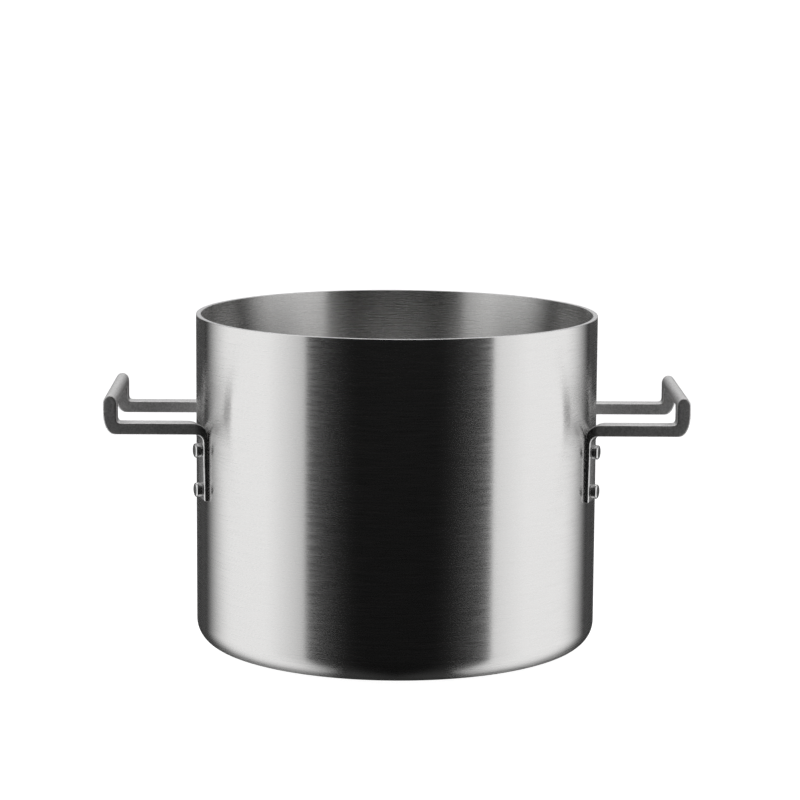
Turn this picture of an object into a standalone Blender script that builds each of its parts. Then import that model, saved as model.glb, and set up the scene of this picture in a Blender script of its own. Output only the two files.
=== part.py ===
"""Stock pot in clad sheet with two riveted bar handles.

Axes: +Z up, +X along the line through both handles, origin at the centre of the base.
The body is three nested drawn shells: outer steel skin, aluminium core and inner steel liner.
Each handle is one bar casting: two flanges on the wall, two legs and an upturned grip.
Four rivets pass through each handle's flanges and all three shells.
"""
import math

import bmesh
import bpy
from mathutils import Matrix, Vector

MM = 0.001

# Body: outside size, and the layers of the clad sheet from the outside in.
POT_RADIUS = 123.0 * MM
POT_HEIGHT = 203.5 * MM
BASE_CORNER = 14.0 * MM
SKIN_THICKNESS = 0.5 * MM
CORE_THICKNESS = 1.4 * MM
LAYER_GAP = 0.3 * MM
RIM_ROUNDING = 0.3 * MM
WALL_SEGMENTS = 80
CORNER_STEPS = 5

# Handle, seen from the side: a bar that leaves the wall level and turns up at its outer end.
LEG_TOP = 142.1 * MM
LEG_THICKNESS = 6.9 * MM
GRIP_OUTER_X = 176.5 * MM
GRIP_THICKNESS = 8.3 * MM
GRIP_TOP = 158.8 * MM
GRIP_HEIGHT = 6.2 * MM
GRIP_OUTER_ROUNDING = 4.8 * MM
GRIP_INNER_ROUNDING = 5.0 * MM
HEEL_LENGTH = 6.6 * MM
HEEL_HEIGHT = 12.5 * MM
INNER_CORNER = 2.0 * MM
INNER_CORNER_STEPS = 3
# Handle, seen from above: two legs with parallel sides.
LEG_OFFSET = 42.4 * MM
LEG_WIDTH = 12.0 * MM
WINDOW_CORNER = 3.0 * MM
WINDOW_CORNER_STEPS = 4
# Flange: follows the wall and blends into the leg.
WALL_GAP = 0.3 * MM
FLANGE_TOP_THICKNESS = 2.6 * MM
FLANGE_FOOT_THICKNESS = 2.1 * MM
FLANGE_FOOT = 94.4 * MM
BEND_OUTER_REACH = 8.4 * MM
BEND_OUTER_DROP = 7.8 * MM
BEND_INNER = 4.6 * MM
EDGE_ROUNDING = 0.7 * MM
EDGE_ROUNDING_STEPS = 2
BEND_STEPS = 6
TURNED_SEGMENTS = 120

# Rivets: a flat button head outside, a low head inside.
RIVET_HEIGHTS = (100.8 * MM, 124.9 * MM)
RIVET_SHANK_RADIUS = 2.5 * MM
RIVET_HOLE_RADIUS = 2.8 * MM
RIVET_HEAD_RADIUS = 4.4 * MM
RIVET_HEAD_HEIGHT = 3.6 * MM
RIVET_HEAD_ROUNDING = 1.0 * MM
RIVET_TAIL_RADIUS = 4.0 * MM
RIVET_TAIL_HEIGHT = 1.2 * MM
RIVET_TAIL_ROUNDING = 0.6 * MM
RIVET_SEAT_GAP = 0.3 * MM
RIVET_SEGMENTS = 20
RIVET_ROUNDING_STEPS = 2

CUTTER_MARGIN = 20.0 * MM
TANGENT_EASE = 0.02 * MM
TURN_MERGE = 0.01 * MM
WELD_DISTANCE = 0.001 * MM

# Edges that turn by more than these angles, in degrees: rounded over, or shaded as creases.
ROUNDED_ANGLE = 50.0
SHELL_CREASE = 30.0
HANDLE_CREASE = 35.0
RIVET_CREASE = 50.0
# Faces that turn by less than this angle, in degrees, count as one flat face.
FLAT_ANGLE = 0.2


def clear_scene():
    for obj in list(bpy.data.objects):
        bpy.data.objects.remove(obj, do_unlink=True)


def make_collection(name):
    collection = bpy.data.collections.new(name)
    bpy.context.scene.collection.children.link(collection)
    return collection


def make_material(name, colour, metallic, roughness):
    material = bpy.data.materials.new(name)
    material.use_nodes = True
    shader = material.node_tree.nodes["Principled BSDF"]
    shader.inputs["Base Color"].default_value = (*colour, 1.0)
    shader.inputs["Metallic"].default_value = metallic
    shader.inputs["Roughness"].default_value = roughness
    material.diffuse_color = (*colour, 1.0)
    return material


def arc(centre, radii, start_deg, end_deg, steps):
    """Points of an elliptical arc in the (x, z) plane, both ends included."""
    points = []
    for index in range(steps + 1):
        angle = math.radians(start_deg + (end_deg - start_deg) * index / steps)
        x = centre[0] + radii[0] * math.cos(angle)
        z = centre[1] + radii[1] * math.sin(angle)
        points.append((x, z))
    return points


def add_object(name, data, collection):
    obj = bpy.data.objects.new(name, data)
    collection.objects.link(obj)
    return obj


def apply_modifiers(obj):
    """Replace the object's mesh by the result of its modifiers."""
    graph = bpy.context.evaluated_depsgraph_get()
    mesh = bpy.data.meshes.new_from_object(obj.evaluated_get(graph))
    obj.modifiers.clear()
    obj.data = mesh
    mesh.name = obj.name


def turned(name, profile, segments, collection, closed=False):
    """Solid of revolution about Z from (radius, z) points that run down its outer side."""
    mesh = bpy.data.meshes.new(name)
    count = len(profile)
    edges = [(index, index + 1) for index in range(count - 1)]
    if closed:
        edges.append((count - 1, 0))
    mesh.from_pydata([(radius, 0.0, z) for radius, z in profile], edges, [])
    obj = add_object(name, mesh, collection)
    screw = obj.modifiers.new("turn", 'SCREW')
    screw.axis = 'Z'
    screw.steps = segments
    screw.render_steps = segments
    screw.use_merge_vertices = True
    screw.merge_threshold = TURN_MERGE
    screw.use_smooth_shade = False
    apply_modifiers(obj)
    return obj


def plate(name, outline, half_width, collection):
    """Closed (x, z) outline extruded along Y to both sides of the XZ plane."""
    curve = bpy.data.curves.new(name, 'CURVE')
    curve.dimensions = '2D'
    curve.fill_mode = 'BOTH'
    curve.extrude = half_width
    spline = curve.splines.new('POLY')
    spline.points.add(len(outline) - 1)
    for point, (x, z) in zip(spline.points, outline):
        point.co = (x, z, 0.0, 1.0)
    spline.use_cyclic_u = True
    obj = add_object(name, curve, collection)
    graph = bpy.context.evaluated_depsgraph_get()
    mesh = bpy.data.meshes.new_from_object(obj.evaluated_get(graph))
    bpy.data.objects.remove(obj, do_unlink=True)
    mesh.transform(Matrix.Rotation(math.pi / 2.0, 4, 'X'))
    weld(mesh)
    return add_object(name, mesh, collection)


def weld(mesh):
    """Join coincident vertices and turn every face outwards."""
    bm = bmesh.new()
    bm.from_mesh(mesh)
    bmesh.ops.remove_doubles(bm, verts=bm.verts, dist=WELD_DISTANCE)
    bmesh.ops.recalc_face_normals(bm, faces=bm.faces)
    bm.to_mesh(mesh)
    bm.free()


def merge_flat_faces(mesh):
    """Join the coplanar faces and the straight runs of edges that the cuts leave."""
    bm = bmesh.new()
    bm.from_mesh(mesh)
    bmesh.ops.dissolve_limit(bm, angle_limit=math.radians(FLAT_ANGLE),
                             verts=bm.verts, edges=bm.edges)
    bm.to_mesh(mesh)
    bm.free()


def box(name, low, high, collection):
    mesh = bpy.data.meshes.new(name)
    bm = bmesh.new()
    bmesh.ops.create_cube(bm, size=1.0)
    size = Vector(high) - Vector(low)
    centre = (Vector(high) + Vector(low)) / 2.0
    bm.transform(Matrix.Translation(centre) @ Matrix.Diagonal((*size, 1.0)))
    bm.to_mesh(mesh)
    bm.free()
    return add_object(name, mesh, collection)


def bevel(obj, width, segments):
    modifier = obj.modifiers.new("edges", 'BEVEL')
    modifier.width = width
    modifier.segments = segments
    modifier.limit_method = 'ANGLE'
    modifier.angle_limit = math.radians(ROUNDED_ANGLE)
    modifier.harden_normals = False
    apply_modifiers(obj)


def subtract(obj, cutter):
    modifier = obj.modifiers.new("cut", 'BOOLEAN')
    modifier.operation = 'DIFFERENCE'
    modifier.solver = 'EXACT'
    modifier.object = cutter
    apply_modifiers(obj)
    weld(obj.data)
    cutter.hide_render = True
    cutter.display_type = 'WIRE'


def smooth_by_angle(mesh, angle_deg):
    """Smooth shading, with edges sharper than the angle left as creases."""
    limit = math.radians(angle_deg)
    bm = bmesh.new()
    bm.from_mesh(mesh)
    for face in bm.faces:
        face.smooth = True
    for edge in bm.edges:
        edge.smooth = len(edge.link_faces) == 2 and edge.calc_face_angle() < limit
    bm.to_mesh(mesh)
    bm.free()


def shell_profile(offset, thickness, round_outside, round_inside):
    """Half section of one drawn layer, from the inside centre round to the underside centre."""
    outer = POT_RADIUS - offset
    inner = outer - thickness
    underside = offset
    floor = offset + thickness
    outer_corner = BASE_CORNER - offset
    inner_corner = outer_corner - thickness
    profile = [(0.0, floor)]
    profile += arc((inner - inner_corner, floor + inner_corner),
                   (inner_corner, inner_corner), -90.0, 0.0, CORNER_STEPS)
    profile.append((inner, POT_HEIGHT - round_inside))
    if round_inside:
        profile.append((inner + round_inside, POT_HEIGHT))
    if round_outside:
        profile.append((outer - round_outside, POT_HEIGHT))
    profile.append((outer, POT_HEIGHT - round_outside))
    profile += arc((outer - outer_corner, underside + outer_corner),
                   (outer_corner, outer_corner), 0.0, -90.0, CORNER_STEPS)
    profile.append((0.0, underside))
    return profile


def flange_front(height):
    """Radius of the flange's outer face, which thins evenly from the bend down to the foot."""
    bend_height = LEG_TOP - LEG_THICKNESS - BEND_INNER
    share = (height - FLANGE_FOOT) / (bend_height - FLANGE_FOOT)
    growth = (FLANGE_TOP_THICKNESS - FLANGE_FOOT_THICKNESS) * share
    return POT_RADIUS + WALL_GAP + FLANGE_FOOT_THICKNESS + growth


def rivet_places():
    """Angle about Z and height of every rivet axis, with the handle side it belongs to."""
    spread = math.asin(LEG_OFFSET / (POT_RADIUS + WALL_GAP + FLANGE_TOP_THICKNESS))
    places = []
    for side, facing in (("right", 0.0), ("left", math.pi)):
        for position, sign in (("front", -1.0), ("rear", 1.0)):
            turn = sign if side == "right" else -sign
            for level, height in zip(("lower", "upper"), RIVET_HEIGHTS):
                name = f"rivet_{side}_{position}_{level}"
                places.append((name, facing + turn * spread, height))
    return places


def radial_frame(angle, height):
    """Frame whose +Z points out of the wall at the given angle and height."""
    place = Matrix.Translation((0.0, 0.0, height))
    return place @ Matrix.Rotation(angle, 4, 'Z') @ Matrix.Rotation(math.pi / 2.0, 4, 'Y')


def rivet_hole_cutter(collection):
    """All rivet holes as one set of separate radial cylinders."""
    near = POT_RADIUS - CUTTER_MARGIN
    far = POT_RADIUS + CUTTER_MARGIN
    length = Matrix.Translation((0.0, 0.0, (near + far) / 2.0))
    mesh = bpy.data.meshes.new("rivet_hole_cutter")
    bm = bmesh.new()
    for _, angle, height in rivet_places():
        bmesh.ops.create_cone(bm, cap_ends=True, segments=RIVET_SEGMENTS,
                              radius1=RIVET_HOLE_RADIUS, radius2=RIVET_HOLE_RADIUS,
                              depth=far - near, matrix=radial_frame(angle, height) @ length)
    bm.to_mesh(mesh)
    bm.free()
    return add_object("rivet_hole_cutter", mesh, collection)


def handle_outline():
    """Side view of the bar, with a plain block where the flange is cut out afterwards."""
    inner_x = GRIP_OUTER_X - GRIP_THICKNESS
    crown_x = GRIP_OUTER_X - GRIP_THICKNESS / 2.0
    half = GRIP_THICKNESS / 2.0
    leg_bottom = LEG_TOP - LEG_THICKNESS - TANGENT_EASE
    block_start = POT_RADIUS - CUTTER_MARGIN
    block_end = flange_front(LEG_TOP) + BEND_INNER
    outline = [(block_start, FLANGE_FOOT), (block_end, FLANGE_FOOT), (block_end, leg_bottom)]
    outline += arc((GRIP_OUTER_X - HEEL_LENGTH, leg_bottom + HEEL_HEIGHT),
                   (HEEL_LENGTH, HEEL_HEIGHT), -90.0, 0.0, BEND_STEPS)
    outline += arc((crown_x, GRIP_TOP - GRIP_OUTER_ROUNDING),
                   (half, GRIP_OUTER_ROUNDING), 0.0, 90.0, BEND_STEPS)[:-1]
    outline += arc((crown_x, GRIP_TOP - GRIP_INNER_ROUNDING),
                   (half, GRIP_INNER_ROUNDING), 90.0, 180.0, BEND_STEPS)
    outline += arc((inner_x - INNER_CORNER, LEG_TOP + INNER_CORNER),
                   (INNER_CORNER, INNER_CORNER), 0.0, -90.0, INNER_CORNER_STEPS)
    outline.append((block_start, LEG_TOP))
    return outline


def wall_side_cutter(collection):
    """Turned core that shapes the back of the flanges and the outside of the bends."""
    back = POT_RADIUS + WALL_GAP
    top = LEG_TOP + TANGENT_EASE
    profile = [(0.0, GRIP_TOP), (back + BEND_OUTER_REACH, GRIP_TOP)]
    profile += arc((back + BEND_OUTER_REACH, top - BEND_OUTER_DROP),
                   (BEND_OUTER_REACH, BEND_OUTER_DROP), 90.0, 180.0, BEND_STEPS)
    profile.append((back, FLANGE_FOOT - CUTTER_MARGIN))
    profile.append((0.0, FLANGE_FOOT - CUTTER_MARGIN))
    return turned("flange_back_cutter", profile, TURNED_SEGMENTS, collection)


def outer_side_cutter(collection):
    """Turned ring that shapes the flange fronts, the inside of the bends and the leg undersides."""
    leg_bottom = LEG_TOP - LEG_THICKNESS
    bend_height = leg_bottom - BEND_INNER
    reach = GRIP_OUTER_X + CUTTER_MARGIN
    foot = FLANGE_FOOT - CUTTER_MARGIN
    profile = [(reach, leg_bottom), (reach, foot), (flange_front(foot), foot)]
    profile += arc((flange_front(bend_height) + BEND_INNER, bend_height),
                   (BEND_INNER, BEND_INNER), 180.0, 90.0, BEND_STEPS)
    return turned("flange_front_cutter", profile, TURNED_SEGMENTS, collection, closed=True)


def window_cutter(collection):
    """Block that opens the space between the legs and under the grip."""
    half = LEG_OFFSET - LEG_WIDTH / 2.0
    low = (POT_RADIUS - 2.0 * CUTTER_MARGIN, -half, FLANGE_FOOT - CUTTER_MARGIN)
    high = (GRIP_OUTER_X + CUTTER_MARGIN, half, GRIP_TOP - GRIP_HEIGHT)
    cutter = box("handle_window_cutter", low, high, collection)
    bevel(cutter, WINDOW_CORNER, WINDOW_CORNER_STEPS)
    return cutter


def build_handle(pot, cutters, material, holes):
    """Right-hand handle as one solid; the left one is the same part turned half round."""
    half_width = LEG_OFFSET + LEG_WIDTH / 2.0
    handle = plate("handle_right", handle_outline(), half_width, pot)
    for make_cutter in (window_cutter, wall_side_cutter, outer_side_cutter):
        subtract(handle, make_cutter(cutters))
    merge_flat_faces(handle.data)
    bevel(handle, EDGE_ROUNDING, EDGE_ROUNDING_STEPS)
    subtract(handle, holes)
    smooth_by_angle(handle.data, HANDLE_CREASE)
    handle.data.materials.clear()
    handle.data.materials.append(material)
    return handle


def rivet_profile(height):
    """Half section along the rivet axis, measured out from the pot's axis."""
    seat = flange_front(height) + RIVET_SEAT_GAP
    crown = seat + RIVET_HEAD_HEIGHT
    wall = 2.0 * SKIN_THICKNESS + CORE_THICKNESS + 2.0 * LAYER_GAP
    tail_seat = POT_RADIUS - wall - RIVET_SEAT_GAP
    tail = tail_seat - RIVET_TAIL_HEIGHT
    profile = [(0.0, crown)]
    profile += arc((RIVET_HEAD_RADIUS - RIVET_HEAD_ROUNDING, crown - RIVET_HEAD_ROUNDING),
                   (RIVET_HEAD_ROUNDING, RIVET_HEAD_ROUNDING),
                   90.0, 0.0, RIVET_ROUNDING_STEPS)
    profile.append((RIVET_HEAD_RADIUS, seat))
    profile.append((RIVET_SHANK_RADIUS, seat))
    profile.append((RIVET_SHANK_RADIUS, tail_seat))
    profile.append((RIVET_TAIL_RADIUS, tail_seat))
    profile += arc((RIVET_TAIL_RADIUS - RIVET_TAIL_ROUNDING, tail + RIVET_TAIL_ROUNDING),
                   (RIVET_TAIL_ROUNDING, RIVET_TAIL_ROUNDING),
                   0.0, -90.0, RIVET_ROUNDING_STEPS)
    profile.append((0.0, tail))
    return profile


def build_rivets(pot, material):
    for name, angle, height in rivet_places():
        rivet = turned(name, rivet_profile(height), RIVET_SEGMENTS, pot)
        rivet.data.transform(radial_frame(angle, height))
        smooth_by_angle(rivet.data, RIVET_CREASE)
        rivet.data.materials.append(material)


def build_shells(pot, materials, holes):
    skin_offset = 0.0
    core_offset = SKIN_THICKNESS + LAYER_GAP
    liner_offset = core_offset + CORE_THICKNESS + LAYER_GAP
    layers = (
        ("outer_shell", skin_offset, SKIN_THICKNESS, RIM_ROUNDING, 0.0),
        ("core_shell", core_offset, CORE_THICKNESS, 0.0, 0.0),
        ("inner_liner", liner_offset, SKIN_THICKNESS, 0.0, RIM_ROUNDING),
    )
    for name, offset, thickness, round_outside, round_inside in layers:
        profile = shell_profile(offset, thickness, round_outside, round_inside)
        shell = turned(name, profile, WALL_SEGMENTS, pot)
        subtract(shell, holes)
        smooth_by_angle(shell.data, SHELL_CREASE)
        shell.data.materials.append(materials[name])


def build():
    clear_scene()
    pot = make_collection("stock_pot")
    cutters = make_collection("cutters")
    materials = {
        "outer_shell": make_material("outer_shell_steel", (0.60, 0.60, 0.60), 1.0, 0.30),
        "core_shell": make_material("core_aluminium", (0.78, 0.78, 0.79), 1.0, 0.42),
        "inner_liner": make_material("inner_liner_steel", (0.62, 0.62, 0.62), 1.0, 0.28),
    }
    handle_steel = make_material("handle_cast_steel", (0.52, 0.52, 0.53), 1.0, 0.45)
    rivet_steel = make_material("rivet_steel", (0.66, 0.66, 0.66), 1.0, 0.18)
    holes = rivet_hole_cutter(cutters)
    build_shells(pot, materials, holes)
    right = build_handle(pot, cutters, handle_steel, holes)
    left_mesh = right.data.copy()
    left_mesh.name = "handle_left"
    left_mesh.transform(Matrix.Rotation(math.pi, 4, 'Z'))
    add_object("handle_left", left_mesh, pot)
    build_rivets(pot, rivet_steel)


build()
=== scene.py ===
"""Looks of the stock pot: brushed clad body, two cast bar handles and eight button rivets.

Every piece stands where the CAD frame has it. Places come from the frame's boxes; the small
forms that a box doesn't show, such as roundings, are named below in millimetres.
"""
import math

import bmesh
import bpy
from mathutils import Matrix, Vector


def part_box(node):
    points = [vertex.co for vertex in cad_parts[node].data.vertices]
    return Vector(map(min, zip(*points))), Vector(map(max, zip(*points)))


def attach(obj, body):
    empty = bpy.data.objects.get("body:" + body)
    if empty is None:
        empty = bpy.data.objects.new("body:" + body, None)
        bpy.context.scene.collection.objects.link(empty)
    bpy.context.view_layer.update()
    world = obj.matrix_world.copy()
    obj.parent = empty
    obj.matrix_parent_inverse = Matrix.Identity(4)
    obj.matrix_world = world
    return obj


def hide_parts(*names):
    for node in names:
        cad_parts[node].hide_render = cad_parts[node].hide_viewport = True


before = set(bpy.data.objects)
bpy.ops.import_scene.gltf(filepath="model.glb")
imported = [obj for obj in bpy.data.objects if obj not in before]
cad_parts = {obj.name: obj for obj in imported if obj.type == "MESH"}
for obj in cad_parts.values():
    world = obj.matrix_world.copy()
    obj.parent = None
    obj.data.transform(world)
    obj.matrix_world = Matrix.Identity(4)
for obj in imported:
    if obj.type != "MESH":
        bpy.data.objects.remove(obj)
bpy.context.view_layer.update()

MM = 0.001

# Mesh work.
WELD_DISTANCE = 0.001 * MM
CREASE_ANGLE = 40.0
SMOOTHING_FACTOR = 0.5

# Body, from the frame's outer shell.
BODY_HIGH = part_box("outer_shell")[1]
POT_RADIUS = BODY_HIGH.x
POT_HEIGHT = BODY_HIGH.z
SKIN_THICKNESS = 0.5 * MM
WALL = POT_RADIUS - (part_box("inner_liner")[1].x - SKIN_THICKNESS)
CAD_GAP = 0.3 * MM
LAYER_SEAM = 0.02 * MM
BASE_CORNER = 14.0 * MM
RIM_ROUNDING = 0.3 * MM
SEAM_ROUNDING = 0.06 * MM
WALL_SEGMENTS = 256
CORNER_STEPS = 20
ROUNDING_STEPS = 4

# Handles: the outline's ends come from the frame. Thicknesses and bends are the casting's own.
HANDLE_LOW, HANDLE_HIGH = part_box("handle_right")
GRIP_OUTER_X = HANDLE_HIGH.x
GRIP_TOP = HANDLE_HIGH.z
FLANGE_FOOT = HANDLE_LOW.z
HALF_WIDTH = HANDLE_HIGH.y
LEG_TOP = 142.1 * MM
LEG_THICKNESS = 6.9 * MM
LEG_WIDTH = 12.0 * MM
GRIP_THICKNESS = 8.3 * MM
GRIP_HEIGHT = 6.2 * MM
GRIP_OUTER_ROUNDING = 4.8 * MM
GRIP_INNER_ROUNDING = 5.0 * MM
HEEL_LENGTH = 6.6 * MM
HEEL_HEIGHT = 12.5 * MM
INNER_CORNER = 2.0 * MM
WINDOW_CORNER = 3.0 * MM
WINDOW_CORNER_STEPS = 8
WINDOW_EDGE_ANGLE = 60.0
WALL_GAP = 0.1 * MM
FLANGE_SEAT = POT_RADIUS + CAD_GAP
FLANGE_TOP_THICKNESS = 2.6 * MM
FLANGE_FOOT_THICKNESS = 2.1 * MM
BEND_OUTER_REACH = 8.4 * MM
BEND_OUTER_DROP = 7.8 * MM
BEND_INNER = 4.6 * MM
CASTING_GRID = 0.4 * MM
CASTING_PASSES = 26
BEND_STEPS = 14
TURNED_SEGMENTS = 300
CUTTER_MARGIN = 20.0 * MM
TANGENT_EASE = 0.02 * MM

# Rivets: a flat button head outside and a low domed tail inside.
RIVET_SHANK_RADIUS = 2.5 * MM
RIVET_HOLE_RADIUS = 2.6 * MM
RIVET_HEAD_RADIUS = 4.4 * MM
RIVET_HEAD_HEIGHT = 3.6 * MM
RIVET_HEAD_ROUNDING = 1.1 * MM
RIVET_HEAD_CROWN = 0.12 * MM
RIVET_FOOT_ROUNDING = 0.25 * MM
RIVET_TAIL_RADIUS = 4.0 * MM
RIVET_TAIL_HEIGHT = 1.2 * MM
RIVET_TAIL_EDGE = 0.25 * MM
RIVET_SEAT = 0.02 * MM
RIVET_SEGMENTS = 64
RIVET_CROWN_STEPS = 5
RIVET_HEAD_STEPS = 6
RIVET_FOOT_STEPS = 3
RIVET_TAIL_STEPS = 10
RIVET_CREASE_ANGLE = 50.0

# Metals: tints, and roughness as one value or as smoothest and roughest.
OUTER_TINT = (0.66, 0.655, 0.65)
OUTER_ROUGHNESS = (0.21, 0.31)
LINER_TINT = (0.63, 0.625, 0.62)
LINER_ROUGHNESS = (0.23, 0.32)
CORE_TINT = (0.80, 0.80, 0.81)
CORE_ROUGHNESS = 0.30
HANDLE_TINT = (0.70, 0.695, 0.695)
HANDLE_ROUGHNESS = 0.47
FLANGE_ROUGHNESS = 0.27
RIVET_TINT = (0.68, 0.68, 0.68)
RIVET_ROUGHNESS = 0.2
NOISE_SPAN = (0.3, 0.7)

# Brushing: streaks as (length, height), and how the two kinds share the surface.
FINE_STREAK = (14.0 * MM, 0.5 * MM)
BROAD_STREAK = (40.0 * MM, 1.1 * MM)
FINE_SHARE = 0.65
BROAD_SHARE = 0.35
STREAK_DARKEST = 0.99
ANISOTROPY = 1.0
ANISOTROPY_TURN = 0.25

# Blasting: grain, pits and clouds by size, and the smooth flange's reach from the wall.
GRAIN_SIZE = 1.0 * MM
GRAIN_DETAIL = 3.0
GRAIN_BREAKUP = 0.6
PIT_SIZE = 2.2 * MM
CLOUD_SIZE = 14.0 * MM
GRAIN_SHARE = 0.7
PIT_SHARE = 0.3
GRAIN_SPAN = (0.38, 0.62)
GRAIN_DARKEST = 0.72
GRAIN_DEPTH = 0.15 * MM
GRAIN_STRENGTH = 0.8
CLOUD_ROUGHNESS = 0.03
FLANGE_FINISH_START = 3.2 * MM
FLANGE_FINISH_END = 9.0 * MM

# Scuffs on the rivets.
SCUFF_SIZE = 0.8 * MM
SCUFF_ROUGHNESS = 0.04
SCUFF_DARKEST = 0.95
SCUFF_DEPTH = 0.01 * MM
SCUFF_STRENGTH = 0.2

# Camera: a long lens a little above the rim, turned by under a degree.
CAMERA_PLACE = Vector((-19.5, -1790.9, 427.0)) * MM
CAMERA_LENS = 132.37
CAMERA_PITCH = 8.807
CAMERA_HEADING = -0.694
CAMERA_ROLL = 0.387
CAMERA_SENSOR = 36.0
CAMERA_CLIP = (0.05, 100.0)

# Softboxes: one tall panel close to each side. Reflections don't see the floor, so the part of
# a panel below it stands for that panel's mirror image in the pale table.
SOFTBOX_DISTANCE = 370.0 * MM
SOFTBOX_FRONT_LEFT = -350.0 * MM
SOFTBOX_FRONT_RIGHT = -325.0 * MM
SOFTBOX_BACK = 280.0 * MM
SOFTBOX_LOW = -900.0 * MM
SOFTBOX_HIGH = 900.0 * MM
SOFTBOX_STRENGTH = 1.2
SOFTBOX_FRONT_FULL = -150.0 * MM
SOFTBOX_BACK_FULL = 20.0 * MM
SOFTBOX_EDGE_LEFT = 0.55
SOFTBOX_EDGE_RIGHT = 0.75
SOFTBOX_FOOT = (-800.0 * MM, -300.0 * MM)
SOFTBOX_FOOT_SHARE = 0.7

# Pale floor.
FLOOR_HALF = 30.0
FLOOR_COLOUR = (0.5, 0.5, 0.5, 1.0)
FLOOR_ROUGHNESS = 0.9
FLOOR_SPECULAR = 0.1
FLOOR_GLOW = 0.93
WHITE = (1.0, 1.0, 1.0, 1.0)

# Studio round the pot, by direction. Each pair is where a change begins and where it is
# complete: a REACH or FADE is the cosine of a bearing, and a RISE is the sine of an elevation.
CARDS_REACH = (-0.2, 0.5)
CARDS_FADE = (0.80, 0.93)
CARDS_FADE_SHARE = 0.5
CARDS_STRENGTH = 0.085
SPILL_REACH = (0.35, 0.85)
SPILL_STRENGTH = (0.006, 0.05)
BACKDROP_REACH = (0.85, 0.95)
BACKDROP_RISE = (-0.03, 0.05)
BACKDROP_STRENGTH = 0.6
FRONT_TOP_REACH = (-0.7, -0.95)
FRONT_TOP_RISE = (0.25, 0.7)
FRONT_TOP_STRENGTH = 0.07
REAR_TOP_REACH = (0.6, 0.85)
REAR_TOP_RISE = (0.3, 0.6)
REAR_TOP_STRENGTH = 1.5


# ---------------------------------------------------------------- mesh tools

def arc(centre, radii, start_deg, end_deg, steps):
    """Points of an elliptical arc in the (x, z) plane, both ends included."""
    points = []
    for index in range(steps + 1):
        angle = math.radians(start_deg + (end_deg - start_deg) * index / steps)
        x = centre[0] + radii[0] * math.cos(angle)
        z = centre[1] + radii[1] * math.sin(angle)
        points.append((x, z))
    return points


def add_object(name, data):
    obj = bpy.data.objects.new(name, data)
    bpy.context.scene.collection.objects.link(obj)
    return obj


def lathe(name, profile, segments):
    """Closed solid turned about Z from (radius, z) points; points on the axis become poles."""
    bm = bmesh.new()
    rings = []
    for radius, z in profile:
        if radius == 0.0:
            rings.append([bm.verts.new((0.0, 0.0, z))] * segments)
            continue
        ring = []
        for index in range(segments):
            angle = 2.0 * math.pi * index / segments
            ring.append(bm.verts.new((radius * math.cos(angle), radius * math.sin(angle), z)))
        rings.append(ring)
    if profile[0][0] > 0.0:
        rings.append(rings[0])
    for above, below in zip(rings, rings[1:]):
        for index in range(segments):
            following = (index + 1) % segments
            corners = [above[index], above[following], below[following], below[index]]
            bm.faces.new(list(dict.fromkeys(corners)))
    bmesh.ops.recalc_face_normals(bm, faces=bm.faces)
    mesh = bpy.data.meshes.new(name)
    bm.to_mesh(mesh)
    bm.free()
    return add_object(name, mesh)


def apply_modifiers(obj):
    """Replace the object's mesh by the result of its modifiers."""
    graph = bpy.context.evaluated_depsgraph_get()
    mesh = bpy.data.meshes.new_from_object(obj.evaluated_get(graph))
    obj.modifiers.clear()
    obj.data = mesh
    mesh.name = obj.name


def weld(mesh):
    """Join coincident vertices and turn every face outwards."""
    bm = bmesh.new()
    bm.from_mesh(mesh)
    bmesh.ops.remove_doubles(bm, verts=bm.verts, dist=WELD_DISTANCE)
    bmesh.ops.recalc_face_normals(bm, faces=bm.faces)
    bm.to_mesh(mesh)
    bm.free()


def plate(name, outline, half_width):
    """Closed (x, z) outline extruded along Y to both sides of the XZ plane."""
    curve = bpy.data.curves.new(name, 'CURVE')
    curve.dimensions = '2D'
    curve.fill_mode = 'BOTH'
    curve.extrude = half_width
    spline = curve.splines.new('POLY')
    spline.points.add(len(outline) - 1)
    for point, (x, z) in zip(spline.points, outline):
        point.co = (x, z, 0.0, 1.0)
    spline.use_cyclic_u = True
    obj = add_object(name, curve)
    graph = bpy.context.evaluated_depsgraph_get()
    mesh = bpy.data.meshes.new_from_object(obj.evaluated_get(graph))
    bpy.data.objects.remove(obj, do_unlink=True)
    mesh.transform(Matrix.Rotation(math.pi / 2.0, 4, 'X'))
    weld(mesh)
    return add_object(name, mesh)


def block(name, low, high):
    """Box between two corners."""
    mesh = bpy.data.meshes.new(name)
    bm = bmesh.new()
    bmesh.ops.create_cube(bm, size=1.0)
    size = Vector(high) - Vector(low)
    centre = (Vector(high) + Vector(low)) / 2.0
    bm.transform(Matrix.Translation(centre) @ Matrix.Diagonal((*size, 1.0)))
    bm.to_mesh(mesh)
    bm.free()
    return add_object(name, mesh)


def bevel(obj, width, segments, angle_deg):
    """Round the edges sharper than the angle."""
    modifier = obj.modifiers.new("edges", 'BEVEL')
    modifier.width = width
    modifier.segments = segments
    modifier.limit_method = 'ANGLE'
    modifier.angle_limit = math.radians(angle_deg)
    apply_modifiers(obj)


def subtract(obj, cutter):
    """Cut one object out of another; the cutter stays for the next cut."""
    modifier = obj.modifiers.new("cut", 'BOOLEAN')
    modifier.operation = 'DIFFERENCE'
    modifier.solver = 'EXACT'
    modifier.object = cutter
    apply_modifiers(obj)
    weld(obj.data)


def discard(*objects):
    for obj in objects:
        bpy.data.objects.remove(obj, do_unlink=True)


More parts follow.
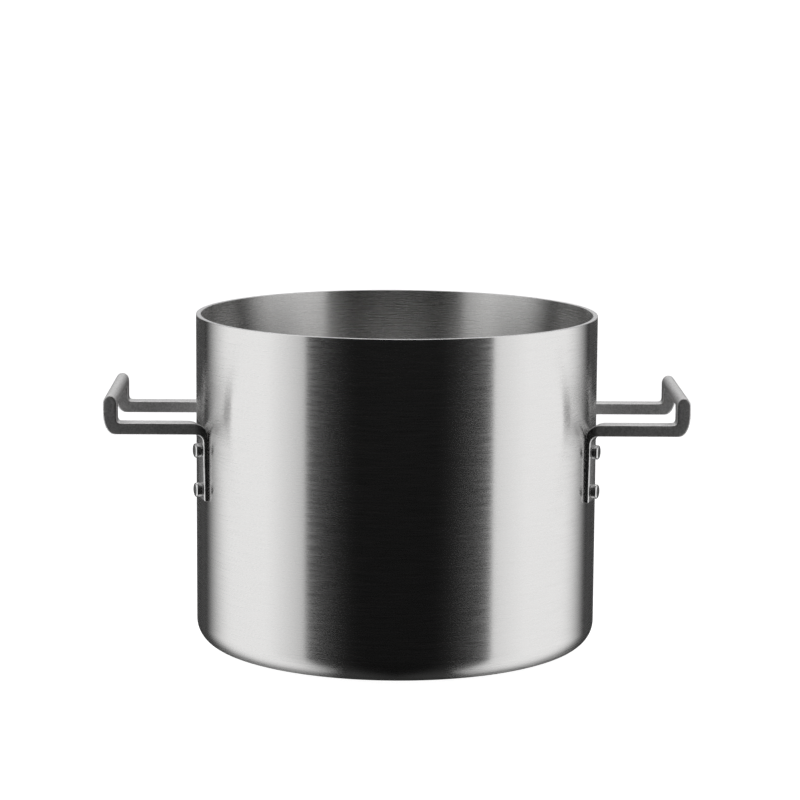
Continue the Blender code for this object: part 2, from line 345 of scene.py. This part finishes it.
def smooth_by_angle(mesh, angle_deg):
    """Smooth shading, with edges sharper than the angle left as creases."""
    limit = math.radians(angle_deg)
    bm = bmesh.new()
    bm.from_mesh(mesh)
    for face in bm.faces:
        face.smooth = True
    for edge in bm.edges:
        edge.smooth = len(edge.link_faces) == 2 and edge.calc_face_angle() < limit
    bm.to_mesh(mesh)
    bm.free()


def soften(obj, grid, passes):
    """Round every edge and corner alike, as on a cast and blasted part."""
    even = obj.modifiers.new("even", 'REMESH')
    even.mode = 'VOXEL'
    even.voxel_size = grid
    even.use_smooth_shade = True
    rounded = obj.modifiers.new("rounded", 'SMOOTH')
    rounded.factor = SMOOTHING_FACTOR
    rounded.iterations = passes
    apply_modifiers(obj)


def keep_shading(obj, uncut):
    """Copy the shading normals of the uncut form, so that cut holes leave no creases."""
    modifier = obj.modifiers.new("normals", 'DATA_TRANSFER')
    modifier.object = uncut
    modifier.use_loop_data = True
    modifier.data_types_loops = {'CUSTOM_NORMAL'}
    modifier.loop_mapping = 'POLYINTERP_NEAREST'
    apply_modifiers(obj)


# ---------------------------------------------------------------- shader tools

class Graph:
    """Short calls for building one node tree."""

    def __init__(self, tree):
        self.tree = tree

    def add(self, kind, **settings):
        node = self.tree.nodes.new(kind)
        for name, value in settings.items():
            setattr(node, name, value)
        return node

    def feed(self, socket, value):
        """Link an output socket, or set a plain number or colour."""
        if isinstance(value, bpy.types.NodeSocket):
            self.tree.links.new(value, socket)
        else:
            socket.default_value = value

    def math(self, operation, first, second=0.0):
        node = self.add("ShaderNodeMath", operation=operation)
        self.feed(node.inputs[0], first)
        self.feed(node.inputs[1], second)
        return node.outputs[0]

    def ramp(self, value, low, high, to_low=0.0, to_high=1.0, smooth=True):
        """Map value from low..high to to_low..to_high, held at both ends."""
        kind = 'SMOOTHSTEP' if smooth else 'LINEAR'
        node = self.add("ShaderNodeMapRange", interpolation_type=kind)
        names = ("Value", "From Min", "From Max", "To Min", "To Max")
        for name, number in zip(names, (value, low, high, to_low, to_high)):
            self.feed(node.inputs[name], number)
        return node.outputs[0]

    def place(self):
        return self.add("ShaderNodeTexCoord").outputs["Object"]

    def split(self, vector):
        node = self.add("ShaderNodeSeparateXYZ")
        self.feed(node.inputs[0], vector)
        return node.outputs

    def span(self, x, y):
        """Length of the flat vector (x, y)."""
        squares = self.math('ADD', self.math('MULTIPLY', x, x), self.math('MULTIPLY', y, y))
        return self.math('SQRT', squares)

    def noise(self, vector, scale, detail=2.0, roughness=0.5):
        node = self.add("ShaderNodeTexNoise")
        self.feed(node.inputs["Vector"], vector)
        node.inputs["Scale"].default_value = scale
        node.inputs["Detail"].default_value = detail
        node.inputs["Roughness"].default_value = roughness
        return node.outputs["Fac"]

    def radius(self, place):
        """Distance of a place from the Z axis."""
        flat = self.add("ShaderNodeVectorMath", operation='MULTIPLY')
        self.feed(flat.inputs[0], place)
        flat.inputs[1].default_value = (1.0, 1.0, 0.0)
        length = self.add("ShaderNodeVectorMath", operation='LENGTH')
        self.feed(length.inputs[0], flat.outputs[0])
        return length.outputs["Value"]

    def bump(self, height, distance, strength):
        node = self.add("ShaderNodeBump")
        self.feed(node.inputs["Height"], height)
        node.inputs["Distance"].default_value = distance
        node.inputs["Strength"].default_value = strength
        return node.outputs[0]

    def grey(self, value, tint):
        """A metal's colour: its tint scaled by value."""
        node = self.add("ShaderNodeMix", data_type='RGBA', blend_type='MULTIPLY')
        node.inputs["Factor"].default_value = 1.0
        node.inputs["A"].default_value = (*tint, 1.0)
        self.feed(node.inputs["B"], value)
        return node.outputs["Result"]


def metal(name):
    """A metallic material; returns it with its graph and its Principled shader."""
    material = bpy.data.materials.new(name)
    material.use_nodes = True
    shader = material.node_tree.nodes["Principled BSDF"]
    shader.inputs["Metallic"].default_value = 1.0
    return material, Graph(material.node_tree), shader


def brush_coordinates(graph, length, height):
    """Space stretched into streaks that run round the Z axis, on the wall and the base alike."""
    x, y, z = graph.split(graph.place())
    across = graph.math('ADD', graph.span(x, y), z)
    joined = graph.add("ShaderNodeCombineXYZ")
    graph.feed(joined.inputs[0], graph.math('DIVIDE', x, length))
    graph.feed(joined.inputs[1], graph.math('DIVIDE', y, length))
    graph.feed(joined.inputs[2], graph.math('DIVIDE', across, height))
    return joined.outputs[0]


def brushed_steel(name, tint, roughness):
    """Satin steel brushed round the pot: it spreads light up and down and keeps it sharp sideways.

    The streaks vary its roughness from the first to the second of the two values.
    """
    material, graph, shader = metal(name)
    fine = graph.noise(brush_coordinates(graph, *FINE_STREAK), 1.0)
    broad = graph.noise(brush_coordinates(graph, *BROAD_STREAK), 1.0)
    streaks = graph.math('ADD', graph.math('MULTIPLY', fine, FINE_SHARE),
                         graph.math('MULTIPLY', broad, BROAD_SHARE))
    graph.feed(shader.inputs["Roughness"],
               graph.ramp(streaks, *NOISE_SPAN, *roughness, smooth=False))
    shade = graph.ramp(streaks, *NOISE_SPAN, STREAK_DARKEST, 1.0, smooth=False)
    graph.feed(shader.inputs["Base Color"], graph.grey(shade, tint))
    tangent = graph.add("ShaderNodeTangent", direction_type='RADIAL', axis='Z').outputs[0]
    graph.feed(shader.inputs["Tangent"], tangent)
    shader.inputs["Anisotropic"].default_value = ANISOTROPY
    shader.inputs["Anisotropic Rotation"].default_value = ANISOTROPY_TURN
    return material


def blasted_metal(name, tint, roughness, flange_roughness=None):
    """Blasted metal: a fine even grain with a faint cloudiness, and a smoother flange if given."""
    material, graph, shader = metal(name)
    place = graph.place()
    grain = graph.noise(place, 1.0 / GRAIN_SIZE, GRAIN_DETAIL, GRAIN_BREAKUP)
    pits = graph.noise(place, 1.0 / PIT_SIZE)
    clouds = graph.noise(place, 1.0 / CLOUD_SIZE)
    surface = graph.math('ADD', graph.math('MULTIPLY', grain, GRAIN_SHARE),
                         graph.math('MULTIPLY', pits, PIT_SHARE))
    finish = graph.ramp(clouds, *NOISE_SPAN, roughness - CLOUD_ROUGHNESS,
                        roughness + CLOUD_ROUGHNESS, smooth=False)
    if flange_roughness is not None:
        finish = graph.ramp(graph.radius(place), POT_RADIUS + FLANGE_FINISH_START,
                            POT_RADIUS + FLANGE_FINISH_END, flange_roughness, finish)
    graph.feed(shader.inputs["Roughness"], finish)
    shade = graph.ramp(surface, *GRAIN_SPAN, GRAIN_DARKEST, 1.0, smooth=False)
    graph.feed(shader.inputs["Base Color"], graph.grey(shade, tint))
    graph.feed(shader.inputs["Normal"], graph.bump(surface, GRAIN_DEPTH, GRAIN_STRENGTH))
    return material


def polished_steel(name, tint, roughness):
    """Polished rivet steel with fine scuffs."""
    material, graph, shader = metal(name)
    scuffs = graph.noise(graph.place(), 1.0 / SCUFF_SIZE)
    finish = graph.ramp(scuffs, *NOISE_SPAN, roughness - SCUFF_ROUGHNESS,
                        roughness + SCUFF_ROUGHNESS, smooth=False)
    graph.feed(shader.inputs["Roughness"], finish)
    shade = graph.ramp(scuffs, *NOISE_SPAN, SCUFF_DARKEST, 1.0, smooth=False)
    graph.feed(shader.inputs["Base Color"], graph.grey(shade, tint))
    graph.feed(shader.inputs["Normal"], graph.bump(scuffs, SCUFF_DEPTH, SCUFF_STRENGTH))
    return material


# ---------------------------------------------------------------- body

def shell_profile(offset, thickness, outside_rounding, inside_rounding):
    """Half section of one layer, from the inside centre round to the underside centre."""
    outer = POT_RADIUS - offset
    inner = outer - thickness
    underside = offset
    floor = offset + thickness
    outer_corner = BASE_CORNER - offset
    inner_corner = outer_corner - thickness
    profile = [(0.0, floor)]
    profile += arc((inner - inner_corner, floor + inner_corner),
                   (inner_corner, inner_corner), -90.0, 0.0, CORNER_STEPS)
    profile += arc((inner + inside_rounding, POT_HEIGHT - inside_rounding),
                   (inside_rounding, inside_rounding), 180.0, 90.0, ROUNDING_STEPS)
    profile += arc((outer - outside_rounding, POT_HEIGHT - outside_rounding),
                   (outside_rounding, outside_rounding), 90.0, 0.0, ROUNDING_STEPS)
    profile += arc((outer - outer_corner, underside + outer_corner),
                   (outer_corner, outer_corner), 0.0, -90.0, CORNER_STEPS)
    profile.append((0.0, underside))
    return profile


def place_piece(obj, node, material):
    """Give the piece its material, hang it on the root body and hide the CAD node it stands for.
    """
    obj.data.materials.clear()
    obj.data.materials.append(material)
    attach(obj, "root")
    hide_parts(node)


def build_body(holes, materials):
    """Skin, core and liner, each turned and then drilled for the rivets."""
    core_thickness = WALL - 2.0 * SKIN_THICKNESS - 2.0 * LAYER_SEAM
    core_offset = SKIN_THICKNESS + LAYER_SEAM
    liner_offset = core_offset + core_thickness + LAYER_SEAM
    layers = (
        ("pot_skin", "outer_shell", "outer_steel",
         0.0, SKIN_THICKNESS, RIM_ROUNDING, SEAM_ROUNDING),
        ("pot_core", "core_shell", "core_aluminium",
         core_offset, core_thickness, SEAM_ROUNDING, SEAM_ROUNDING),
        ("pot_liner", "inner_liner", "liner_steel",
         liner_offset, SKIN_THICKNESS, SEAM_ROUNDING, RIM_ROUNDING),
    )
    for name, node, slot, offset, thickness, outside, inside in layers:
        profile = shell_profile(offset, thickness, outside, inside)
        shell = lathe(name, profile, WALL_SEGMENTS)
        smooth_by_angle(shell.data, CREASE_ANGLE)
        uncut = add_object(name + "_uncut", shell.data.copy())
        subtract(shell, holes)
        smooth_by_angle(shell.data, CREASE_ANGLE)
        keep_shading(shell, uncut)
        discard(uncut)
        place_piece(shell, node, materials[slot])


# ---------------------------------------------------------------- handles

def flange_front(height):
    """Radius of the flange's outer face, which thins evenly from the bend down to the foot."""
    bend_height = LEG_TOP - LEG_THICKNESS - BEND_INNER
    share = (height - FLANGE_FOOT) / (bend_height - FLANGE_FOOT)
    growth = (FLANGE_TOP_THICKNESS - FLANGE_FOOT_THICKNESS) * share
    return FLANGE_SEAT + FLANGE_FOOT_THICKNESS + growth


def handle_outline():
    """Side view of the bar, with a plain block where the flange is cut out afterwards."""
    inner_x = GRIP_OUTER_X - GRIP_THICKNESS
    half = GRIP_THICKNESS / 2.0
    crown_x = GRIP_OUTER_X - half
    leg_bottom = LEG_TOP - LEG_THICKNESS - TANGENT_EASE
    block_start = POT_RADIUS - CUTTER_MARGIN
    block_end = flange_front(LEG_TOP) + BEND_INNER
    outline = [(block_start, FLANGE_FOOT), (block_end, FLANGE_FOOT), (block_end, leg_bottom)]
    outline += arc((GRIP_OUTER_X - HEEL_LENGTH, leg_bottom + HEEL_HEIGHT),
                   (HEEL_LENGTH, HEEL_HEIGHT), -90.0, 0.0, BEND_STEPS)
    outline += arc((crown_x, GRIP_TOP - GRIP_OUTER_ROUNDING),
                   (half, GRIP_OUTER_ROUNDING), 0.0, 90.0, BEND_STEPS)[:-1]
    outline += arc((crown_x, GRIP_TOP - GRIP_INNER_ROUNDING),
                   (half, GRIP_INNER_ROUNDING), 90.0, 180.0, BEND_STEPS)
    outline += arc((inner_x - INNER_CORNER, LEG_TOP + INNER_CORNER),
                   (INNER_CORNER, INNER_CORNER), 0.0, -90.0, BEND_STEPS // 2)
    outline.append((block_start, LEG_TOP))
    return outline


def wall_side_cutter():
    """Turned core that shapes the backs of the flanges and the outside of the bends."""
    back = POT_RADIUS + WALL_GAP
    top = LEG_TOP + TANGENT_EASE
    profile = [(0.0, GRIP_TOP), (back + BEND_OUTER_REACH, GRIP_TOP)]
    profile += arc((back + BEND_OUTER_REACH, top - BEND_OUTER_DROP),
                   (BEND_OUTER_REACH, BEND_OUTER_DROP), 90.0, 180.0, BEND_STEPS)
    profile.append((back, FLANGE_FOOT - CUTTER_MARGIN))
    profile.append((0.0, FLANGE_FOOT - CUTTER_MARGIN))
    return lathe("flange_back_cutter", profile, TURNED_SEGMENTS)


def outer_side_cutter():
    """Turned ring that shapes the flange fronts, the inner bends and the leg undersides."""
    leg_bottom = LEG_TOP - LEG_THICKNESS
    bend_height = leg_bottom - BEND_INNER
    reach = GRIP_OUTER_X + CUTTER_MARGIN
    foot = FLANGE_FOOT - CUTTER_MARGIN
    profile = [(reach, leg_bottom), (reach, foot), (flange_front(foot), foot)]
    profile += arc((flange_front(bend_height) + BEND_INNER, bend_height),
                   (BEND_INNER, BEND_INNER), 180.0, 90.0, BEND_STEPS)
    return lathe("flange_front_cutter", profile, TURNED_SEGMENTS)


def window_cutter():
    """Block that opens the space between the legs and under the grip."""
    half = HALF_WIDTH - LEG_WIDTH
    low = (POT_RADIUS - 2.0 * CUTTER_MARGIN, -half, FLANGE_FOOT - CUTTER_MARGIN)
    high = (GRIP_OUTER_X + CUTTER_MARGIN, half, GRIP_TOP - GRIP_HEIGHT)
    cutter = block("handle_window_cutter", low, high)
    bevel(cutter, WINDOW_CORNER, WINDOW_CORNER_STEPS, WINDOW_EDGE_ANGLE)
    return cutter


def build_handles(holes, material):
    """One casting, used as it is on the right and turned half round on the left."""
    right = plate("cast_handle_right", handle_outline(), HALF_WIDTH)
    for make_cutter in (window_cutter, wall_side_cutter, outer_side_cutter):
        cutter = make_cutter()
        subtract(right, cutter)
        discard(cutter)
    subtract(right, holes)
    soften(right, CASTING_GRID, CASTING_PASSES)
    left = add_object("cast_handle_left", right.data.copy())
    left.data.transform(Matrix.Rotation(math.pi, 4, 'Z'))
    place_piece(right, "handle_right", material)
    place_piece(left, "handle_left", material)


# ---------------------------------------------------------------- rivets

def rivet_nodes():
    """Every rivet of the frame with the angle about Z and the height of its axis."""
    found = []
    for name in sorted(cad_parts):
        if name.startswith("rivet_"):
            low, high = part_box(name)
            centre = (low + high) / 2.0
            found.append((name, math.atan2(centre.y, centre.x), centre.z))
    return found


def radial_frame(angle, height):
    """Frame whose +Z points out of the wall at the given angle and height."""
    place = Matrix.Translation((0.0, 0.0, height))
    return place @ Matrix.Rotation(angle, 4, 'Z') @ Matrix.Rotation(math.pi / 2.0, 4, 'Y')


def rivet_hole_cutter():
    """All rivet holes as one set of separate radial cylinders."""
    near = POT_RADIUS - CUTTER_MARGIN
    far = POT_RADIUS + CUTTER_MARGIN
    middle = Matrix.Translation((0.0, 0.0, (near + far) / 2.0))
    mesh = bpy.data.meshes.new("rivet_hole_cutter")
    bm = bmesh.new()
    for _, angle, height in rivet_nodes():
        bmesh.ops.create_cone(bm, cap_ends=True, segments=RIVET_SEGMENTS // 2,
                              radius1=RIVET_HOLE_RADIUS, radius2=RIVET_HOLE_RADIUS,
                              depth=far - near, matrix=radial_frame(angle, height) @ middle)
    bm.to_mesh(mesh)
    bm.free()
    return add_object("rivet_hole_cutter", mesh)


def rivet_profile(height):
    """Half section along the rivet axis, measured out from the pot's axis."""
    crown = flange_front(height) + CAD_GAP + RIVET_HEAD_HEIGHT
    seat = flange_front(height) + RIVET_SEAT
    shoulder = crown - RIVET_HEAD_CROWN - RIVET_HEAD_ROUNDING
    tail_seat = POT_RADIUS - WALL - RIVET_SEAT
    tail = tail_seat - RIVET_TAIL_HEIGHT
    face = RIVET_HEAD_RADIUS - RIVET_HEAD_ROUNDING
    profile = [(0.0, crown)]
    for step in range(1, RIVET_CROWN_STEPS):
        share = step / RIVET_CROWN_STEPS
        profile.append((face * share, crown - RIVET_HEAD_CROWN * share * share))
    profile += arc((face, shoulder), (RIVET_HEAD_ROUNDING, RIVET_HEAD_ROUNDING),
                   90.0, 0.0, RIVET_HEAD_STEPS)
    profile += arc((RIVET_HEAD_RADIUS - RIVET_FOOT_ROUNDING, seat + RIVET_FOOT_ROUNDING),
                   (RIVET_FOOT_ROUNDING, RIVET_FOOT_ROUNDING), 0.0, -90.0, RIVET_FOOT_STEPS)
    profile.append((RIVET_SHANK_RADIUS, seat))
    profile.append((RIVET_SHANK_RADIUS, tail_seat))
    profile += arc((0.0, tail_seat - RIVET_TAIL_EDGE),
                   (RIVET_TAIL_RADIUS, RIVET_TAIL_HEIGHT - RIVET_TAIL_EDGE),
                   0.0, -90.0, RIVET_TAIL_STEPS)[:-1]
    profile.append((0.0, tail))
    return profile


def build_rivets(material):
    for name, angle, height in rivet_nodes():
        rivet = lathe(name.replace("rivet", "button_rivet"), rivet_profile(height), RIVET_SEGMENTS)
        rivet.data.transform(radial_frame(angle, height))
        smooth_by_angle(rivet.data, RIVET_CREASE_ANGLE)
        place_piece(rivet, name, material)


# ---------------------------------------------------------------- studio

def emitter(name, strength_of):
    """Light-giving material; strength_of builds the brightness from the graph."""
    material = bpy.data.materials.new(name)
    material.use_nodes = True
    tree = material.node_tree
    tree.nodes.clear()
    graph = Graph(tree)
    output = graph.add("ShaderNodeOutputMaterial")
    emission = graph.add("ShaderNodeEmission")
    graph.feed(emission.inputs["Strength"], strength_of(graph))
    tree.links.new(emission.outputs[0], output.inputs["Surface"])
    return material


def softbox_strength(graph):
    """Brightest in the middle, fading out at the back, partly dimmed at the front and the foot."""
    x, y, z = graph.split(graph.place())
    edge = graph.ramp(x, -SOFTBOX_DISTANCE, SOFTBOX_DISTANCE,
                      SOFTBOX_EDGE_LEFT, SOFTBOX_EDGE_RIGHT, smooth=False)
    front = graph.ramp(y, SOFTBOX_FRONT_LEFT, SOFTBOX_FRONT_FULL, edge, 1.0, smooth=False)
    back = graph.ramp(y, SOFTBOX_BACK_FULL, SOFTBOX_BACK, 1.0, 0.0)
    foot = graph.ramp(z, *SOFTBOX_FOOT, SOFTBOX_FOOT_SHARE, 1.0)
    shape = graph.math('MULTIPLY', graph.math('MULTIPLY', front, back), foot)
    return graph.math('MULTIPLY', shape, SOFTBOX_STRENGTH)


def build_softboxes():
    """One panel on each side of the pot, unseen by the camera itself."""
    material = emitter("softbox_light", softbox_strength)
    sides = (("left", -SOFTBOX_DISTANCE, SOFTBOX_FRONT_LEFT),
             ("right", SOFTBOX_DISTANCE, SOFTBOX_FRONT_RIGHT))
    for side, x, front in sides:
        corners = [(x, front, SOFTBOX_LOW), (x, SOFTBOX_BACK, SOFTBOX_LOW),
                   (x, SOFTBOX_BACK, SOFTBOX_HIGH), (x, front, SOFTBOX_HIGH)]
        mesh = bpy.data.meshes.new("softbox_" + side)
        mesh.from_pydata(corners, [], [(0, 1, 2, 3)])
        mesh.materials.append(material)
        panel = add_object("softbox_" + side, mesh)
        panel.visible_camera = False
        panel.visible_shadow = False


def build_floor():
    """Pale light table: it glows softly, so the pot leaves only a faint shadow."""
    material = bpy.data.materials.new("light_table")
    material.use_nodes = True
    shader = material.node_tree.nodes["Principled BSDF"]
    shader.inputs["Base Color"].default_value = FLOOR_COLOUR
    shader.inputs["Roughness"].default_value = FLOOR_ROUGHNESS
    shader.inputs["Specular IOR Level"].default_value = FLOOR_SPECULAR
    shader.inputs["Emission Color"].default_value = WHITE
    shader.inputs["Emission Strength"].default_value = FLOOR_GLOW
    mesh = bpy.data.meshes.new("floor")
    corners = [(-FLOOR_HALF, -FLOOR_HALF, 0.0), (FLOOR_HALF, -FLOOR_HALF, 0.0),
               (FLOOR_HALF, FLOOR_HALF, 0.0), (-FLOOR_HALF, FLOOR_HALF, 0.0)]
    mesh.from_pydata(corners, [], [(0, 1, 2, 3)])
    mesh.materials.append(material)
    floor = add_object("floor", mesh)
    floor.visible_glossy = False


def build_backdrop():
    """White behind the pot for the lens. In reflections, a dark studio with soft lights.

    Dim cards stand round the back, spill lights the sides, and the backdrop shows through a
    gap behind the pot. A faint light hangs high in front and a strong one high behind.
    """
    world = bpy.data.worlds.new("studio")
    world.use_nodes = True
    bpy.context.scene.world = world
    world.node_tree.nodes.clear()
    graph = Graph(world.node_tree)
    x, y, z = graph.split(graph.add("ShaderNodeTexCoord").outputs["Generated"])
    flat = graph.span(x, y)
    rearward = graph.math('DIVIDE', y, flat)
    sideways = graph.math('ABSOLUTE', graph.math('DIVIDE', x, flat))
    cards = graph.math('MULTIPLY', graph.ramp(rearward, *CARDS_REACH, 0.0, CARDS_STRENGTH),
                       graph.ramp(rearward, *CARDS_FADE, 1.0, CARDS_FADE_SHARE))
    spill = graph.ramp(sideways, *SPILL_REACH, *SPILL_STRENGTH)

    def light(reach, rise, strength):
        """Light that begins at one bearing and at one height above the horizon."""
        shape = graph.math('MULTIPLY', graph.ramp(rearward, *reach), graph.ramp(z, *rise))
        return graph.math('MULTIPLY', shape, strength)

    sources = (spill, light(BACKDROP_REACH, BACKDROP_RISE, BACKDROP_STRENGTH),
               light(FRONT_TOP_REACH, FRONT_TOP_RISE, FRONT_TOP_STRENGTH),
               light(REAR_TOP_REACH, REAR_TOP_RISE, REAR_TOP_STRENGTH),
               graph.add("ShaderNodeLightPath").outputs["Is Camera Ray"])
    strength = cards
    for source in sources:
        strength = graph.math('MAXIMUM', strength, source)
    background = graph.add("ShaderNodeBackground")
    background.inputs["Color"].default_value = WHITE
    graph.feed(background.inputs["Strength"], strength)
    output = graph.add("ShaderNodeOutputWorld")
    world.node_tree.links.new(background.outputs[0], output.inputs["Surface"])


def build_camera():
    """Camera at the photograph's viewing angle."""
    data = bpy.data.cameras.new("camera")
    data.sensor_width = CAMERA_SENSOR
    data.lens = CAMERA_LENS
    data.clip_start, data.clip_end = CAMERA_CLIP
    camera = add_object("camera", data)
    turn = Matrix.Rotation(math.radians(CAMERA_HEADING), 4, 'Z')
    tilt = Matrix.Rotation(math.radians(90.0 - CAMERA_PITCH), 4, 'X')
    roll = Matrix.Rotation(math.radians(CAMERA_ROLL), 4, 'Z')
    camera.matrix_world = Matrix.Translation(CAMERA_PLACE) @ turn @ tilt @ roll
    bpy.context.scene.camera = camera
    bpy.context.scene.view_settings.view_transform = 'Standard'


# ---------------------------------------------------------------- whole scene

def build():
    materials = {
        "outer_steel": brushed_steel("outer_brushed_steel", OUTER_TINT, OUTER_ROUGHNESS),
        "core_aluminium": blasted_metal("core_edge_aluminium", CORE_TINT, CORE_ROUGHNESS),
        "liner_steel": brushed_steel("liner_brushed_steel", LINER_TINT, LINER_ROUGHNESS),
    }
    holes = rivet_hole_cutter()
    build_body(holes, materials)
    build_handles(holes, blasted_metal("handle_blasted_steel", HANDLE_TINT,
                                       HANDLE_ROUGHNESS, FLANGE_ROUGHNESS))
    discard(holes)
    build_rivets(polished_steel("rivet_polished_steel", RIVET_TINT, RIVET_ROUGHNESS))
    build_softboxes()
    build_floor()
    build_backdrop()
    build_camera()


build()
